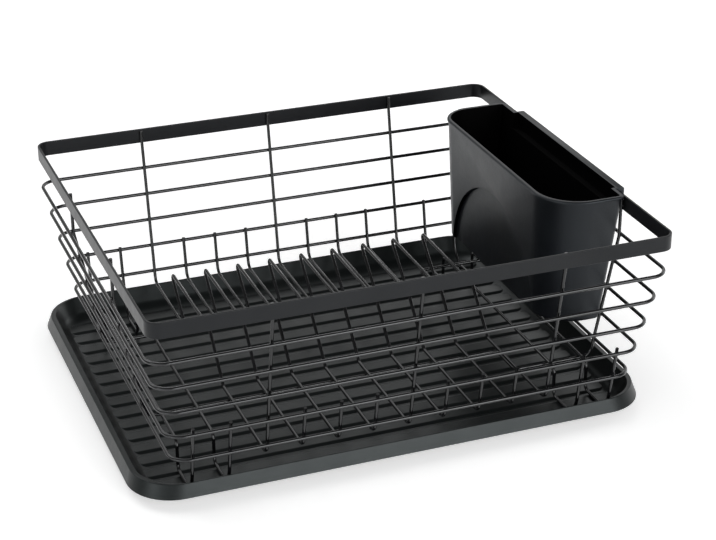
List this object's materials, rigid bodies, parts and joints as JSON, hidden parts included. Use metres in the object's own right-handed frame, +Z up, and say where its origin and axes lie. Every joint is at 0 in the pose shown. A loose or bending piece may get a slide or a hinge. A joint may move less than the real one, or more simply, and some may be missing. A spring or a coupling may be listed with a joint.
{
  "type": "dish drainer",
  "caption": "Wire dish drainer with a flat steel rim, leaning plate dividers, a ribbed drip tray below and a lift-off cutlery caddy hooked over one end.",
  "frame": {"origin": "middle of the drip tray's flat underside", "axes": "+X along the long side towards the cutlery caddy, +Y towards the back, -Y the front, +Z up"},
  "size_m": [0.4318, 0.368, 0.1725],
  "materials": {
    "tray_plastic": "satin",
    "caddy_plastic": "satin",
    "strip_coating": "satin",
    "wire_coating": "satin"
  },
  "bodies": {
    "tray": {"drip_tray": "tray_plastic"},
    "basket": {"rim_band": "strip_coating", "loop_wire_1": "wire_coating", "loop_wire_2": "wire_coating", "loop_wire_3": "wire_coating", "loop_wire_4": "wire_coating", "loop_wire_5": "wire_coating", "divider_wire_1": "wire_coating", "divider_wire_2": "wire_coating", "divider_wire_3": "wire_coating", "divider_wire_4": "wire_coating", "divider_wire_5": "wire_coating", "divider_wire_6": "wire_coating", "divider_wire_7": "wire_coating", "divider_wire_8": "wire_coating", "divider_wire_9": "wire_coating", "foot_wire_1": "wire_coating", "foot_wire_2": "wire_coating", "foot_wire_3": "wire_coating", "foot_wire_4": "wire_coating", "cross_wire_back": "wire_coating", "cross_wire_front": "wire_coating"},
    "caddy": {"cutlery_caddy": "caddy_plastic"}
  },
  "joints": [
    {"name": "basket_lift", "type": "slide", "parent": "tray", "child": "basket", "axis": [0, 0, 1], "range_m": [0, 0.06]},
    {"name": "caddy_lift", "type": "slide", "parent": "basket", "child": "caddy", "axis": [0, 0, 1], "range_m": [0, 0.12]}
  ]
}
